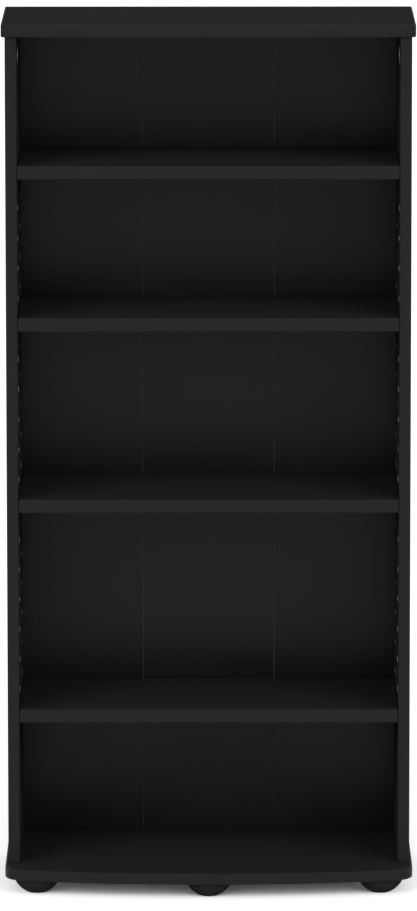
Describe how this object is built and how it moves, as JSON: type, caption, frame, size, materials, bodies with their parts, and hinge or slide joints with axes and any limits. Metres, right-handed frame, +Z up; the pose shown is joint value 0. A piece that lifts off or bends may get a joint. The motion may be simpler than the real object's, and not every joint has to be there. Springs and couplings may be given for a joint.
{
  "type": "cd dvd storage tower",
  "caption": "Open-front disc storage tower with loose shelves on peg holes, a bowed base board on domed feet and a folding back.",
  "frame": {"origin": "centre of the bounding box at floor level", "axes": "+Z up along the tower's height, the open front faces -Y, +X to the viewer's right"},
  "size_m": [0.431, 0.2284, 0.9175],
  "materials": {
    "melamine_board": "satin",
    "black_hardboard": "satin",
    "hinge_tape": "matte",
    "nickel_steel": "satin",
    "cast_zinc": "satin",
    "beech": "matte",
    "black_plastic": "satin"
  },
  "bodies": {
    "carcass": {"top_board": "melamine_board", "base_board": "melamine_board", "side_panel_left": "melamine_board", "side_panel_right": "melamine_board", "shelf_1_pin_left_front": "black_plastic", "shelf_1_pin_left_rear": "black_plastic", "shelf_1_pin_right_front": "black_plastic", "shelf_1_pin_right_rear": "black_plastic", "shelf_2_pin_left_front": "black_plastic", "shelf_2_pin_left_rear": "black_plastic", "shelf_2_pin_right_front": "black_plastic", "shelf_2_pin_right_rear": "black_plastic", "shelf_3_pin_left_front": "black_plastic", "shelf_3_pin_left_rear": "black_plastic", "shelf_3_pin_right_front": "black_plastic", "shelf_3_pin_right_rear": "black_plastic", "shelf_4_pin_left_front": "black_plastic", "shelf_4_pin_left_rear": "black_plastic", "shelf_4_pin_right_front": "black_plastic", "shelf_4_pin_right_rear": "black_plastic", "back_leaf_left": "black_hardboard", "back_leaf_middle": "black_hardboard", "back_leaf_right": "black_hardboard", "back_hinge_tape_left": "hinge_tape", "back_hinge_tape_right": "hinge_tape", "cam_lock_left": "cast_zinc", "cam_lock_right": "cast_zinc", "cam_bolt_left": "nickel_steel", "cam_bolt_right": "nickel_steel", "top_dowel_left_front": "beech", "top_dowel_left_rear": "beech", "top_dowel_right_front": "beech", "top_dowel_right_rear": "beech", "base_screw_left_front": "nickel_steel", "base_screw_left_rear": "nickel_steel", "base_screw_right_front": "nickel_steel", "base_screw_right_rear": "nickel_steel", "foot_front_left": "black_plastic", "foot_front_middle": "black_plastic", "foot_front_right": "black_plastic", "foot_rear_left": "black_plastic", "foot_rear_right": "black_plastic", "foot_screw_front_left": "nickel_steel", "foot_screw_front_middle": "nickel_steel", "foot_screw_front_right": "nickel_steel", "foot_screw_rear_left": "nickel_steel", "foot_screw_rear_right": "nickel_steel"},
    "shelf_1": {"shelf_1": "melamine_board"},
    "shelf_2": {"shelf_2": "melamine_board"},
    "shelf_3": {"shelf_3": "melamine_board"},
    "shelf_4": {"shelf_4": "melamine_board"}
  },
  "joints": [
    {"name": "shelf_1_slide", "type": "slide", "parent": "carcass", "child": "shelf_1", "axis": [0, -1, 0], "range_m": [0, 0.17]},
    {"name": "shelf_2_slide", "type": "slide", "parent": "carcass", "child": "shelf_2", "axis": [0, -1, 0], "range_m": [0, 0.17]},
    {"name": "shelf_3_slide", "type": "slide", "parent": "carcass", "child": "shelf_3", "axis": [0, -1, 0], "range_m": [0, 0.17]},
    {"name": "shelf_4_slide", "type": "slide", "parent": "carcass", "child": "shelf_4", "axis": [0, -1, 0], "range_m": [0, 0.17]}
  ]
}
